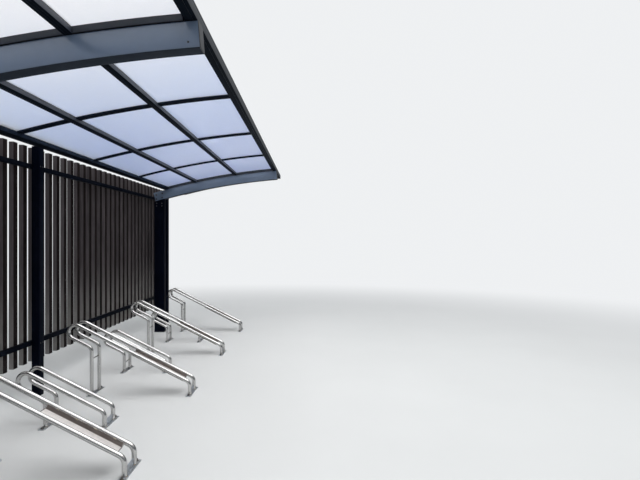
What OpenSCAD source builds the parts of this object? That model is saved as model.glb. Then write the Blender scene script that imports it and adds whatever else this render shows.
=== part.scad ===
// Open bicycle shelter: two posts carry cantilever beams with a shallow curved roof of
// translucent sheets. A screen of upright slats closes the back, and a row of bent tube
// racks, high and low in turn, stands under the roof.
//
// +X points from the posts to the open front, +Y along the shelter, +Z up.
// The origin is the middle of the first main post's foot, at ground level.

/* [Layout] */
// Distance between the two main posts, centre to centre
post_spacing = 5040; // [4400:20:5400]
// Length of roof past each main post's centre line
roof_overhang = 950; // [700:10:1150]
// Number of sheet lengths between the two beams
bays_between_beams = 4; // [3:1:5]

/* [Main posts] */
// Post size across the shelter
post_depth = 150; // [130:5:180]
// Post size along the shelter
post_width = 90; // [70:5:110]
// Wall of the post's extrusion
post_wall = 4; // [3:0.5:6]
// Thickness of the plate that closes the foot
foot_plate = 10; // [6:1:14]

/* [Cantilever beams] */
// Distance of the beam's tip in front of the post's centre line
beam_reach = 1790; // [1600:10:1900]
// Length of beam behind the post's back face
beam_tail = 15; // [8:1:30]
// Height of the beam's section
beam_depth = 132; // [115:1:160]
// Width of the beam's section along the shelter
beam_thick = 88; // [70:2:110]
// Wall of the beam's extrusion
beam_wall = 3; // [2:0.5:5]
// Radius of the curve along the beam's top
beam_radius = 9600; // [8500:100:12000]
// Height at which the beam's top would be level
crest_height = 2500; // [2300:5:2700]
// How far in front of the posts that crest would lie
crest_reach = 2562; // [2300:2:2800]
// Thickness of the cap on the beam's tip
tip_cap_thick = 5; // [2:1:8]

/* [Roof frame] */
// Width of the front frame
front_frame_w = 64; // [50:2:90]
// Height of the front frame
front_frame_h = 60; // [45:1:70]
// Width of the gutter along the back
gutter_w = 104; // [80:2:130]
// Height of the gutter's back wall
gutter_h = 88; // [70:2:110]
// Distance of the gutter's inner face in front of the posts' centre line
gutter_face = 140; // [120:1:160]
// Wall of the frame extrusions
frame_wall = 3; // [2:0.5:4]
// Width of the frame across each end of the roof
end_frame_w = 42; // [30:1:60]
// How far the end frames stand above the sheets' underside
end_frame_rise = 18; // [14:1:30]
// Width of a purlin
purlin_w = 46; // [38:1:60]
// Height of a purlin, from the beam's top to the sheets
purlin_h = 34; // [26:1:44]
// Distance of the front purlin in front of the posts
front_purlin_x = 1165; // [1050:1:1250]
// Distance of the rear purlin in front of the posts
rear_purlin_x = 556; // [480:2:620]
// Width of the flat bars that cross the roof under the sheets' joints, between the beams
crossbar_w = 66; // [54:1:84]
// Width of the saddles, the deeper cross bars above the two beams
saddle_w = 108; // [92:2:130]
// Height of the other cross bars below the sheets
crossbar_h = 12; // [8:1:20]

/* [Roof sheets] */
// Thickness of a sheet
sheet_thick = 4; // [3:0.5:6]
// Width of the web between two neighbouring sheets
joint_web = 10; // [8:1:14]
// Gap from a sheet's edge to the web beside it
sheet_gap = 2; // [1:0.5:3]
// Width of the strip that covers a joint from above
cover_w = 44; // [34:1:56]
// Thickness of that strip
cover_thick = 4; // [2:0.5:6]
// Distance that the rear sheets reach into the gutter
drip_reach = 36; // [20:1:50]

/* [Screen] */
// Size of the slender screen posts, square
screen_post_w = 72; // [60:1:90]
// Distance from the main posts' centre line back to the screen posts' centre
screen_set_back = 162; // [155:1:200]
// Distance of the outer screen posts past the main posts
screen_past_post = 840; // [700:10:1100]
// Place of the middle screen post along the shelter
middle_screen_post_y = 2028; // [1700:4:3300]
// Height of the slats' tops above ground
slat_top = 2261; // [2000:1:2400]
// Length of a slat
slat_length = 1967; // [1750:1:2100]
// Depth of a slat, across the shelter
slat_depth = 42; // [30:1:60]
// Width of a slat, along the shelter
slat_w = 58; // [42:1:72]
// Spacing of the slats, centre to centre
slat_pitch = 140.5; // [110:0.5:165]
// Depth of the two rails that carry the slats
rail_depth = 36; // [24:1:48]
// Height of those rails
rail_h = 42; // [36:1:60]
// Distance from the slats' ends to the middle of each rail
rail_inset = 183; // [140:1:260]
// Length of rail past the outer screen posts' centres
rail_stub = 110; // [70:5:180]

/* [Racks] */
// Spacing of the racks along the shelter, centre to centre
rack_pitch = 760; // [620:5:800]
// Distance of the last rack's middle past the second main post
last_rack_past_post = 110; // [60:5:240]
// Outer diameter of the rack's tube
tube_d = 32; // [27:0.5:38]
// Spacing of the rack's two tubes, centre to centre
tube_pair = 156; // [136:1:180]
// Slope of the rack's runs in degrees
rack_slope = 27; // [20:0.5:32]
// Centre-line radius of the bend at the back of a rack
loop_radius = 63; // [50:1:75]
// Centre-line radius of the bends above the legs
shoulder_radius = 60; // [48:1:72]
// Distance of the rack's rearmost point in front of the posts' centre line
rack_back_x = 104; // [85:1:140]
// Distance of the rear legs in front of the posts' centre line
rear_leg_x = 328; // [310:1:350]
// Distance of a high rack's front legs in front of the posts' centre line
high_front_x = 1222; // [1100:2:1290]
// Distance of a low rack's front legs in front of the posts' centre line
low_front_x = 774; // [720:2:840]
// Height at which the front leg's line meets the slope
front_leg_h = 114; // [104:1:150]
// Thickness of the flat bars under the legs
base_thick = 6; // [4:1:10]
// Width of those bars
base_w = 46; // [38:1:58]
// Distance between the two anchor holes in a bar
anchor_pitch = 246; // [226:1:270]
// Diameter of an anchor hole
anchor_hole_d = 12; // [10:0.5:14]
// Metal past the middle of each anchor hole
anchor_edge = 20; // [16:1:26]
// Height of the plate between a rack's front legs
toe_plate_h = 48; // [36:1:60]
// Thickness of that plate
toe_plate_thick = 5; // [3:0.5:7]
// Diameter of the thin cross rods
rod_d = 10; // [8:0.5:12]
// Distance from the rear shoulder down to its cross rod
rear_rod_drop = 66; // [50:1:90]

/* [Wheel troughs] */
// Length of a trough along the slope
trough_length = 540; // [460:5:620]
// Distance of the trough's lower end from the front legs' line, along the slope
trough_start = 62; // [50:1:90]
// Depth of the trough's groove
trough_depth = 30; // [20:1:40]
// Thickness of the trough's sheet
trough_thick = 2.5; // [1.5:0.5:4]
// Width of the flat at the bottom of the groove
trough_flat = 112; // [90:1:116]

/* [Hidden] */
// Clearance where one piece seats on or beside another
seat = 0.3;
// Small overlap that joins two shapes of one piece
bite = 1;
// Each join of a straight length and a bend sits in a sleeve a hair wider than the tube
sleeve_half = 2;
sleeve_rise = 0.12;
sleeve_stop = 0.4;

arc_z = crest_height - beam_radius;
beam_under_radius = beam_radius - beam_depth;
sheet_radius = beam_radius + purlin_h;
sheet_top_radius = sheet_radius + sheet_thick;
cover_radius = sheet_top_radius + seat;

roof_start_y = -roof_overhang;
roof_end_y = post_spacing + roof_overhang;
roof_length = roof_end_y - roof_start_y;
frame_in_start = roof_start_y + end_frame_w;
frame_in_end = roof_end_y - end_frame_w;
bay_pitch = post_spacing / bays_between_beams;
sheet_lines = [frame_in_start - joint_web / 2, for (i = [0:bays_between_beams]) i * bay_pitch,
               frame_in_end + joint_web / 2];

front_inner_x = beam_reach - front_frame_w;
front_bottom = arc_height(beam_reach, beam_radius) + seat;
gutter_bottom = arc_height(gutter_face, beam_radius) + seat;
gutter_back_x = gutter_face - gutter_w;
front_lip = 8;

tube_r = tube_d / 2;
loop_x = rack_back_x + loop_radius + tube_r;
shoulder_turn = 90 - rack_slope;
shoulder_tangent = shoulder_radius * tan(shoulder_turn / 2);
loop_top_x = loop_x + loop_radius * sin(rack_slope);

screen_x = -screen_set_back;
rail_front_x = screen_x - screen_post_w / 2;
slat_front_x = rail_front_x - rail_depth;
slat_bottom = slat_top - slat_length;
screen_start_y = -screen_past_post;
screen_end_y = post_spacing + screen_past_post;
screen_middle_y = post_spacing / 2;
slats_each_side = floor((post_spacing / 2 + screen_past_post + screen_post_w / 2) / slat_pitch);
last_rack = 6;

ARC_FN = 1440;
TUBE_FN = 40;
BEND_FN = 96;

// Height of a circle about the roof's centre line at a given x
function arc_height(x, r) = arc_z + sqrt(r * r - pow(crest_reach - x, 2));

// Angle of a point on that circle, from +X towards +Z
function arc_angle(x, r) = acos((x - crest_reach) / r);

// Sweeps a profile of [radius, y] round the roof's axis between two x values at one radius
module roof_sweep(x_from, x_to, r) {
    start = arc_angle(x_to, r);
    turn = arc_angle(x_from, r) - start;
    translate([crest_reach, 0, arc_z])
        rotate([90, 0, 0])
            rotate([0, 0, start])
                rotate_extrude(angle = turn, $fn = ARC_FN)
                    mirror([0, 1])
                        children();
}

// Rectangle in [radius, y], placed by its lower radius and its middle line
module band(r_low, r_high, y_mid, w) {
    translate([r_low, y_mid - w / 2])
        square([r_high - r_low, w]);
}

// Profile in [x, z] drawn along the shelter from y0 to y1
module run_along(y0, y1) {
    translate([0, y1, 0])
        rotate([90, 0, 0])
            linear_extrude(y1 - y0)
                children();
}

// Places a profile of [across, up] on the beam's top, upright to the curve, so that its
// middle line meets the sheets' underside at x
module on_curve(x) {
    angle = arc_angle(x, sheet_radius);
    translate([crest_reach + beam_radius * cos(angle), arc_z + beam_radius * sin(angle)])
        rotate(angle - 90)
            children();
}

module main_post(y) {
    color("#23262b")
        difference() {
            translate([-post_depth / 2, y - post_width / 2, 0])
                cube([post_depth, post_width, crest_height]);
            translate([-post_depth / 2 + post_wall, y - post_width / 2 + post_wall, foot_plate])
                cube([post_depth - 2 * post_wall, post_width - 2 * post_wall, crest_height]);
            roof_sweep(-2 * post_depth, 2 * post_depth, beam_under_radius)
                band(beam_under_radius - seat, beam_radius + beam_depth * 4, y, 2 * post_width);
        }
}

module beam(y) {
    color("#2b3038")
        roof_sweep(-post_depth / 2 - beam_tail, beam_reach, beam_radius)
            difference() {
                band(beam_under_radius, beam_radius, y, beam_thick);
                band(beam_under_radius + beam_wall, beam_radius - beam_wall, y,
                     beam_thick - 2 * beam_wall);
            }
}

module beam_cap(y) {
    color("#8b9096")
        roof_sweep(beam_reach, beam_reach + tip_cap_thick, beam_radius)
            band(beam_under_radius, beam_radius, y, beam_thick);
}

module front_frame() {
    lip_top = arc_height(front_inner_x - front_lip, sheet_radius) - seat;
    color("#1d2025")
        run_along(roof_start_y, roof_end_y) {
            difference() {
                translate([front_inner_x, front_bottom])
                    square([front_frame_w, front_frame_h]);
                translate([front_inner_x + frame_wall, front_bottom + frame_wall])
                    square([front_frame_w - 2 * frame_wall, front_frame_h - 2 * frame_wall]);
            }
            translate([front_inner_x - front_lip, lip_top - frame_wall])
                square([front_lip + bite, frame_wall]);
        }
}

module rear_gutter() {
    front_top = arc_height(gutter_face - frame_wall, sheet_radius) - seat;
    color("#1d2025")
        run_along(roof_start_y, roof_end_y)
            polygon([
                [gutter_back_x, gutter_bottom],
                [gutter_face, gutter_bottom],
                [gutter_face, front_top],
                [gutter_face - frame_wall, front_top],
                [gutter_face - frame_wall, gutter_bottom + frame_wall],
                [gutter_back_x + frame_wall, gutter_bottom + frame_wall],
                [gutter_back_x + frame_wall, gutter_bottom + gutter_h],
                [gutter_back_x, gutter_bottom + gutter_h]
            ]);
}

module end_frame(y_mid) {
    color("#1d2025")
        roof_sweep(gutter_face + seat, front_inner_x - front_lip - seat, sheet_radius)
            band(beam_radius, sheet_radius + end_frame_rise, y_mid, end_frame_w);
}

module purlin(x) {
    web_top = purlin_h + sheet_thick + seat;
    color("#1b1e23")
        run_along(frame_in_start + seat, frame_in_end - seat)
            on_curve(x) {
                translate([-purlin_w / 2, 0])
                    square([purlin_w, purlin_h - seat]);
                translate([-joint_web / 2, purlin_h - bite])
                    square([joint_web, sheet_thick + seat + 2 * bite]);
                translate([-cover_w / 2, web_top])
                    square([cover_w, cover_thick]);
            }
}

// One length of cross bar between two members, with its web and cover strip
module crossbar_length(x_from, x_to, y, under_radius, under_w) {
    roof_sweep(x_from, x_to, sheet_radius) {
        band(under_radius, sheet_radius - seat, y, under_w);
        band(sheet_radius - bite, cover_radius + bite, y, joint_web);
        band(cover_radius, cover_radius + cover_thick, y, cover_w);
    }
}

// Cross bar number i, counted from 0. Those above a beam are as deep as the purlins.
module crossbar(i) {
    on_beam = i == 0 || i == bays_between_beams;
    under_radius = on_beam ? beam_radius + seat : sheet_radius - crossbar_h;
    under_w = on_beam ? saddle_w : crossbar_w;
    clear = purlin_w / 2 + seat + bite / 2;
    color("#1b1e23") {
        crossbar_length(gutter_face + seat, rear_purlin_x - clear, i * bay_pitch,
                        under_radius, under_w);
        crossbar_length(rear_purlin_x + clear, front_purlin_x - clear, i * bay_pitch,
                        under_radius, under_w);
        crossbar_length(front_purlin_x + clear, front_inner_x - front_lip - seat,
                        i * bay_pitch, under_radius, under_w);
    }
}

// One row of curved sheets between two members
module roof_sheets(x_from, x_to) {
    color("#c9d3e2", 0.7)
        for (i = [0:len(sheet_lines) - 2]) {
            from_y = sheet_lines[i] + joint_web / 2 + sheet_gap;
            to_y = sheet_lines[i + 1] - joint_web / 2 - sheet_gap;
            roof_sweep(x_from, x_to, sheet_radius)
                band(sheet_radius, sheet_top_radius, (from_y + to_y) / 2, to_y - from_y);
        }
}

module screen_post(y) {
    color("#23262b")
        translate([screen_x - screen_post_w / 2, y - screen_post_w / 2, 0])
            cube([screen_post_w, screen_post_w, slat_top]);
}

module screen_rail(z) {
    color("#1d2025")
        translate([slat_front_x, screen_start_y - rail_stub, z - rail_h / 2])
            cube([rail_depth, screen_end_y - screen_start_y + 2 * rail_stub, rail_h]);
}

module screen_slats() {
    color("#5b5350")
        for (i = [-slats_each_side:slats_each_side])
            translate([slat_front_x - slat_depth, screen_middle_y + i * slat_pitch - slat_w / 2,
                       slat_bottom])
                cube([slat_depth, slat_w, slat_length]);
}

// Straight tube in the plane y, from p to q given as [x, z]
module straight(p, q, y, d) {
    run = q - p;
    translate([p.x, y, p.y])
        rotate([0, 90 - atan2(run.y, run.x), 0])
            cylinder(h = norm(run), d = d, $fn = TUBE_FN);
}

// Bent tube in the plane y about the centre c, given as [x, z]
module bend(c, radius, from, turn, y) {
    translate([c.x, y, c.y])
        rotate([90, 0, 0])
            rotate([0, 0, from])
                rotate_extrude(angle = turn, $fn = BEND_FN)
                    translate([radius, 0])
                        circle(d = tube_d, $fn = TUBE_FN);
}

// Straight length from p to q between two bends. It stops a hair short of each bend,
// and a thin sleeve covers the join.
module straight_to_bends(p, q, y, stop_at_p = true) {
    along = (q - p) / norm(q - p);
    straight(p + (stop_at_p ? sleeve_stop : 0) * along, q - sleeve_stop * along, y, tube_d);
    for (end = stop_at_p ? [p, q] : [q])
        straight(end - sleeve_half * along, end + sleeve_half * along, y,
                 tube_d + 2 * sleeve_rise);
}

// Leg and shoulder: a vertical tube at x that turns into the slope at height z
module leg(x, z, y) {
    straight_to_bends([x, base_thick - bite / 2], [x, z - shoulder_tangent], y, false);
    bend([x - shoulder_radius, z - shoulder_tangent], shoulder_radius, 0, shoulder_turn, y);
}

// Points of a rack's tube, each as [x, z]
function slope_up() = [-cos(rack_slope), sin(rack_slope)];
function slope_normal() = [sin(rack_slope), cos(rack_slope)];
function upper_end(front_x) =
    [loop_top_x, front_leg_h + (front_x - loop_top_x) * tan(rack_slope)];
function loop_centre(front_x) = upper_end(front_x) - loop_radius * slope_normal();
function lower_end(front_x) = loop_centre(front_x) - loop_radius * slope_normal();
function rear_leg_h(front_x) =
    lower_end(front_x).y - (rear_leg_x - lower_end(front_x).x) * tan(rack_slope);

// One of the rack's two tubes, bent from a single length
module rack_tube(front_x, y) {
    rear_h = rear_leg_h(front_x);
    front_shoulder = [front_x, front_leg_h] + shoulder_tangent * slope_up();
    rear_shoulder = [rear_leg_x, rear_h] + shoulder_tangent * slope_up();
    leg(front_x, front_leg_h, y);
    straight_to_bends(front_shoulder, upper_end(front_x), y);
    bend(loop_centre(front_x), loop_radius, shoulder_turn, 180, y);
    straight_to_bends(lower_end(front_x), rear_shoulder, y);
    leg(rear_leg_x, rear_h, y);
}

// Thin rod between the two tubes at [x, z]
module cross_rod(p, y) {
    translate([p.x, y - tube_pair / 2, p.y])
        rotate([-90, 0, 0])
            cylinder(h = tube_pair, d = rod_d, $fn = TUBE_FN);
}

// Flat bar under a pair of legs, with an anchor hole at each end
module base_bar(x, y) {
    length = anchor_pitch + 2 * anchor_edge;
    difference() {
        translate([x - base_w / 2, y - length / 2, 0])
            cube([base_w, length, base_thick]);
        for (side = [-1, 1])
            translate([x, y + side * anchor_pitch / 2, -bite])
                cylinder(h = base_thick + 2 * bite, d = anchor_hole_d, $fn = TUBE_FN);
    }
}

module rack(front_x, y) {
    rear_rod = [rear_leg_x, rear_leg_h(front_x) - shoulder_tangent - rear_rod_drop];
    color("#b9bcbe") {
        for (side = [-1, 1])
            rack_tube(front_x, y + side * tube_pair / 2);
        base_bar(front_x, y);
        base_bar(rear_leg_x, y);
        translate([front_x - toe_plate_thick / 2, y - tube_pair / 2, base_thick - bite])
            cube([toe_plate_thick, tube_pair, toe_plate_h]);
        cross_rod(rear_rod, y);
    }
}

// Folded sheet between the two tubes of a high rack, which guides the wheel
module wheel_trough(y) {
    half = tube_pair / 2 - tube_r - seat;
    flat = trough_flat / 2;
    start = [high_front_x, front_leg_h] + trough_start * slope_up();
    color("#a8a39c")
        translate([start.x, y, start.y])
            rotate([0, rack_slope - 90, 0])
                linear_extrude(trough_length)
                    polygon([
                        [0, -half], [-trough_depth, -flat], [-trough_depth, flat], [0, half],
                        [trough_thick, half], [trough_thick - trough_depth, flat],
                        [trough_thick - trough_depth, -flat], [trough_thick, -half]
                    ]);
}

// The row of racks is set out from the second main post
function rack_y(i) = post_spacing + last_rack_past_post - (last_rack - i) * rack_pitch;

clear_purlin = joint_web / 2 + sheet_gap;

main_post(0);  // main_post_near
main_post(post_spacing);  // main_post_far
beam(0);  // beam_near
beam(post_spacing);  // beam_far
beam_cap(0);  // beam_cap_near
beam_cap(post_spacing);  // beam_cap_far
front_frame();
rear_gutter();
end_frame(roof_start_y + end_frame_w / 2);  // end_frame_near
end_frame(roof_end_y - end_frame_w / 2);  // end_frame_far
purlin(front_purlin_x);  // purlin_front
purlin(rear_purlin_x);  // purlin_rear
crossbar(0);  // crossbar_1
crossbar(1);  // crossbar_2
crossbar(2);  // crossbar_3
crossbar(3);  // crossbar_4
crossbar(4);  // crossbar_5
roof_sheets(front_purlin_x + clear_purlin, front_inner_x - sheet_gap);  // roof_sheets_front
roof_sheets(rear_purlin_x + clear_purlin, front_purlin_x - clear_purlin);  // roof_sheets_middle
roof_sheets(gutter_face - drip_reach, rear_purlin_x - clear_purlin);  // roof_sheets_rear
screen_post(screen_start_y);  // screen_post_near
screen_post(middle_screen_post_y);  // screen_post_middle
screen_post(screen_end_y);  // screen_post_far
screen_rail(slat_top - rail_inset);  // screen_rail_upper
screen_rail(slat_bottom + rail_inset);  // screen_rail_lower
screen_slats();
rack(high_front_x, rack_y(0));  // rack_high_1
rack(low_front_x, rack_y(1));  // rack_low_1
rack(high_front_x, rack_y(2));  // rack_high_2
rack(low_front_x, rack_y(3));  // rack_low_2
rack(high_front_x, rack_y(4));  // rack_high_3
rack(low_front_x, rack_y(5));  // rack_low_3
rack(high_front_x, rack_y(6));  // rack_high_4
wheel_trough(rack_y(0));  // wheel_trough_1
wheel_trough(rack_y(2));  // wheel_trough_2
wheel_trough(rack_y(4));  // wheel_trough_3
wheel_trough(rack_y(6));  // wheel_trough_4
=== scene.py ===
"""Looks of an open bicycle shelter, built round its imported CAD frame.

A curved cantilever roof of frosted sheets stands on two posts, with a screen of upright
slats behind and a row of bent tube racks below. Lengths are in metres. The origin is the
middle of the first main post's foot, +X points to the open front and +Y along the shelter.
"""

from __future__ import annotations

import logging
import math
from dataclasses import dataclass, field
from enum import Enum
from functools import cached_property
from typing import Any, Mapping, Sequence

import bpy
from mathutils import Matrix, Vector

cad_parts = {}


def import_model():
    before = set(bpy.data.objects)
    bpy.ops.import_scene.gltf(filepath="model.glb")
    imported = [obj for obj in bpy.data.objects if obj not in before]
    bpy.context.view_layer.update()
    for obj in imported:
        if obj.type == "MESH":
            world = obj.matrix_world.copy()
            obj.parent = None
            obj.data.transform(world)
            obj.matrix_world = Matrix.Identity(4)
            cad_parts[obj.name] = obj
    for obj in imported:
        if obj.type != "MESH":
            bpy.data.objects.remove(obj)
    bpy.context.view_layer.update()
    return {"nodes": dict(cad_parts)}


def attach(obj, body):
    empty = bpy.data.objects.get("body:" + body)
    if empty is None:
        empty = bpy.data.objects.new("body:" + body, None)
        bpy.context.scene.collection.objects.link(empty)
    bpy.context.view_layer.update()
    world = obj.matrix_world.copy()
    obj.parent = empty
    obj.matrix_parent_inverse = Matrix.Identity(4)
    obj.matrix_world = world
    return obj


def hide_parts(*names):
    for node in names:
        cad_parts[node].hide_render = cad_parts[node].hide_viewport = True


log = logging.getLogger("shelter")

Number = int | float
Point2 = tuple[float, float]
Colour = tuple[float, float, float]
X, Y, Z = Vector((1, 0, 0)), Vector((0, 1, 0)), Vector((0, 0, 1))
SIDES = (-1, 1)
SEAT = 0.0003  # clearance where one piece of the frame seats on another
SINK = 0.0004  # depth at which a screw or washer starts below its surface


# Shader expressions


class Wire:
    """One value in a node tree, which can be used in ordinary arithmetic."""

    def __init__(self, graph: Graph, socket: bpy.types.NodeSocket) -> None:
        """Keeps a node's output and the graph that it belongs to."""
        self.graph = graph
        self.socket = socket

    def __add__(self, other: Wire | Number) -> Wire:
        """Sum of two values."""
        return self.graph.math("ADD", self, other)

    def __mul__(self, other: Wire | Number) -> Wire:
        """Product of two values."""
        return self.graph.math("MULTIPLY", self, other)

    def __sub__(self, other: Wire | Number) -> Wire:
        """Difference of two values."""
        return self.graph.math("SUBTRACT", self, other)

    def __rsub__(self, other: Wire | Number) -> Wire:
        """Difference with this value taken away."""
        return self.graph.math("SUBTRACT", other, self)

    def __abs__(self) -> Wire:
        """This value without its sign."""
        return self.graph.math("ABSOLUTE", self)

    __radd__ = __add__
    __rmul__ = __mul__

    def clamped(self) -> Wire:
        """This value held between 0 and 1."""
        return self.graph.math("MAXIMUM", self.graph.math("MINIMUM", self, 1.0), 0.0)

    def step(self, low: float, high: float) -> Wire:
        """Smooth change from 0 to 1.

        Args:
            low: The value at which it is 0.
            high: The value at which it is 1, below low for a fall.

        Returns:
            The smoothed value.
        """
        (start, first), (end, last) = sorted(((low, 0.0), (high, 1.0)))
        return self.graph.add("ShaderNodeMapRange", {"interpolation_type": "SMOOTHSTEP"},
                              {0: self, 1: start, 2: end, 3: first, 4: last})


class Graph:
    """The node tree of a material or of the world, built from expressions."""

    def __init__(self, owner: bpy.types.Material | bpy.types.World) -> None:
        """Empties the node tree.

        Args:
            owner: A new material or world.
        """
        owner.use_nodes = True
        self.owner = owner
        self.tree = owner.node_tree
        self.tree.nodes.clear()

    def add(self, kind: str, settings: Mapping[str, Any] | None = None,
            sockets: Mapping[int | str, Any] | None = None, output: int | str = 0) -> Wire:
        """Adds any node.

        Args:
            kind: The node's type.
            settings: Its properties, which are set first. "stops" fills a colour ramp.
            sockets: Its inputs by name or number: values, or wires to link.
            output: The output to return.

        Returns:
            That output as a wire.
        """
        node = self.tree.nodes.new(kind)
        for key, value in (settings or {}).items():
            if key == "stops":
                ramp = node.color_ramp
                while len(ramp.elements) < len(value):
                    ramp.elements.new(0.5)
                for element, (place, colour) in zip(ramp.elements, value):
                    element.position = place
                    element.color = (*colour, 1.0)
            else:
                setattr(node, key, value)
        for key, value in (sockets or {}).items():
            target = node.inputs[key]
            if isinstance(value, Wire):
                self.tree.links.new(value.socket, target)
            elif target.type == "RGBA" and len(value) == 3:
                target.default_value = (*value, 1.0)
            else:
                target.default_value = value
        return Wire(self, node.outputs[output])

    def math(self, operation: str, *operands: Wire | Number) -> Wire:
        """Result of a Math node."""
        return self.add("ShaderNodeMath", {"operation": operation}, dict(enumerate(operands)))

    def place(self, scale: tuple[float, float, float] = (1, 1, 1), source: str = "Object") -> Wire:
        """Coordinates on the object, or its UV, stretched along each axis."""
        raw = self.add("ShaderNodeTexCoord", output=source)
        return self.add("ShaderNodeMapping", {}, {"Vector": raw, "Scale": scale})

    @cached_property
    def here(self) -> Wire:
        """Coordinates on the object in metres."""
        return self.place()

    def noise(self, where: Wire, scale: float, detail: float = 3.0, rough: float = 0.5) -> Wire:
        """Cloudy noise between about 0.3 and 0.7, with so many features per metre."""
        return self.add("ShaderNodeTexNoise", {}, {"Vector": where, "Scale": scale,
                                                   "Detail": detail, "Roughness": rough})

    def cells(self, where: Wire, scale: float) -> Wire:
        """Distance to the nearest of scattered points, for specks and grains."""
        return self.add("ShaderNodeTexVoronoi", {}, {"Vector": where, "Scale": scale})

    def axis(self, where: Wire, letter: str) -> Wire:
        """One coordinate of a vector by its letter."""
        return self.add("ShaderNodeSeparateXYZ", {}, {0: where}, output=letter)

    def facing(self, letter: str) -> Wire:
        """How far the surface faces along an axis, from -1 to 1."""
        return self.axis(self.add("ShaderNodeNewGeometry", output="Normal"), letter)

    def ray(self, kind: str) -> Wire:
        """1 on rays of one kind, such as Camera, and 0 on others."""
        return self.add("ShaderNodeLightPath", output=f"Is {kind} Ray")

    def mix(self, factor: Wire | float, first: Wire | Colour, second: Wire | Colour) -> Wire:
        """Blend of two colours, the first where the factor is 0."""
        return self.add("ShaderNodeMix", {"data_type": "RGBA"},
                        {0: factor, 6: first, 7: second}, output=2)

    def shades(self, factor: Wire, colour: Colour, first: float, second: float) -> Wire:
        """Blend of two shades of a colour, each given as a share of it."""
        return self.mix(factor, *(tuple(c * share for c in colour) for share in (first, second)))

    def ramp(self, factor: Wire, *stops: tuple[float, Colour]) -> Wire:
        """Colour from a ramp of (position, colour)."""
        return self.add("ShaderNodeValToRGB", {"stops": stops}, {0: factor})

    def bump(self, height: Wire, distance: float, strength: float) -> Wire:
        """Normal bent by a relief of some depth in metres."""
        return self.add("ShaderNodeBump", {}, {"Height": height, "Distance": distance,
                                               "Strength": strength})

    def close(self, surface: Wire) -> None:
        """Connects the last shader to the tree's output."""
        end = self.tree.nodes.new(f"ShaderNodeOutput{type(self.owner).__name__}")
        self.tree.links.new(surface.socket, end.inputs["Surface"])

    def principled(self, **sockets: Any) -> None:
        """Closes the graph with a Principled shader. Underscores stand for spaces."""
        named = {key.replace("_", " "): value for key, value in sockets.items()}
        self.close(self.add("ShaderNodeBsdfPrincipled", {}, named))


# Finishes


@dataclass(frozen=True)
class Surface:
    """A finish with its material's name."""

    name: str

    def paint(self, g: Graph) -> None:
        """Adds the finish's nodes to its material's empty graph."""
        raise NotImplementedError

    def build(self) -> bpy.types.Material:
        """Makes the material.

        Returns:
            The finished material.
        """
        material = bpy.data.materials.new(self.name)
        self.paint(Graph(material))
        return material


@dataclass(frozen=True)
class PowderCoat(Surface):
    """Satin powder coat on an extrusion, with a fine orange peel, dust and dried drips.

    Upright faces can take a lighter colour, painted light on their sides, and a clear coat.
    """

    colour: Colour
    gloss: float
    roughness: float = 0.4
    dust: float = 0.03
    dust_colour: Colour = (0.11, 0.108, 0.1)
    # painted light: a lighter colour for upright faces, as if light fell on their sides
    side: Colour | None = None
    side_coat: float = 0.0

    def paint(self, g: Graph) -> None:
        """Adds the coat's nodes.

        Args:
            g: The material's empty graph.
        """
        drips = g.noise(g.place((1.0, 1.0, 0.12)), 38.0, 4.0, 0.6)
        cloud = g.noise(g.here, 3.2, 5.0, 0.6)
        peel = g.noise(g.here, 900.0, 1.0)
        upward, height = g.facing("Z"), g.axis(g.here, "Z")
        film = (cloud.step(0.42, 0.72) * 0.5 + drips.step(0.5, 0.72) * 0.35
                + upward.step(0.2, 1.0) * cloud.step(0.3, 0.6) * 0.8
                + height.step(0.35, 0.0) * drips.step(0.35, 0.6) * 0.6)
        film = (film * (upward.step(-0.9, 0.3) * 0.8 + 0.2) * self.dust).clamped()
        tone = g.shades(cloud, self.colour, 0.82, 1.2)
        clear: dict[str, Any] = {}
        # painted light: upright faces blend to the lighter side colour
        if self.side:
            upright = abs(upward).step(0.85, 0.45)
            tone = g.mix(upright, tone, g.shades(cloud, self.side, 0.82, 1.2))
            if self.side_coat:
                clear = {"Coat_Weight": upright * self.side_coat, "Coat_Roughness": 0.3}
        g.principled(
            Base_Color=g.mix(film, tone, self.dust_colour),
            Roughness=self.roughness + film * 0.3 + (peel - 0.5) * 0.06,
            Normal=g.bump(peel, 0.00006, 0.35), Specular_IOR_Level=self.gloss, **clear)


@dataclass(frozen=True)
class FrostedSheet(Surface):
    """Frosted polycarbonate: light comes through softly and the surface has a fine grain."""

    tint: Colour
    haze: Colour

    def paint(self, g: Graph) -> None:
        """Adds the sheet's nodes.

        Args:
            g: The material's empty graph.
        """
        grain = g.noise(g.here, 420.0, 2.0)
        pebble = g.noise(g.here, 120.0, 2.0, 0.6)
        wash = g.noise(g.place((1.0, 0.35, 1.0)), 2.4, 4.0, 0.55)
        ribs = g.noise(g.place((0.25, 1.0, 0.25)), 24.0, 3.0, 0.6)
        specks = g.cells(g.here, 55.0).step(0.09, 0.03) * g.noise(g.here, 7.0).step(0.52, 0.62)
        dirt = (wash.step(0.45, 0.8) * 0.35 + ribs.step(0.5, 0.8) * 0.2 + specks * 0.12
                + pebble.step(0.4, 0.65) * 0.5).clamped()
        g.principled(
            Base_Color=g.mix(dirt, self.tint, self.haze), Roughness=0.4 + dirt * 0.14,
            Transmission_Weight=0.94, IOR=1.1, Specular_IOR_Level=0.4,
            Normal=g.bump(grain * 0.3 + pebble * 0.7, 0.0003, 0.2))


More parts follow.
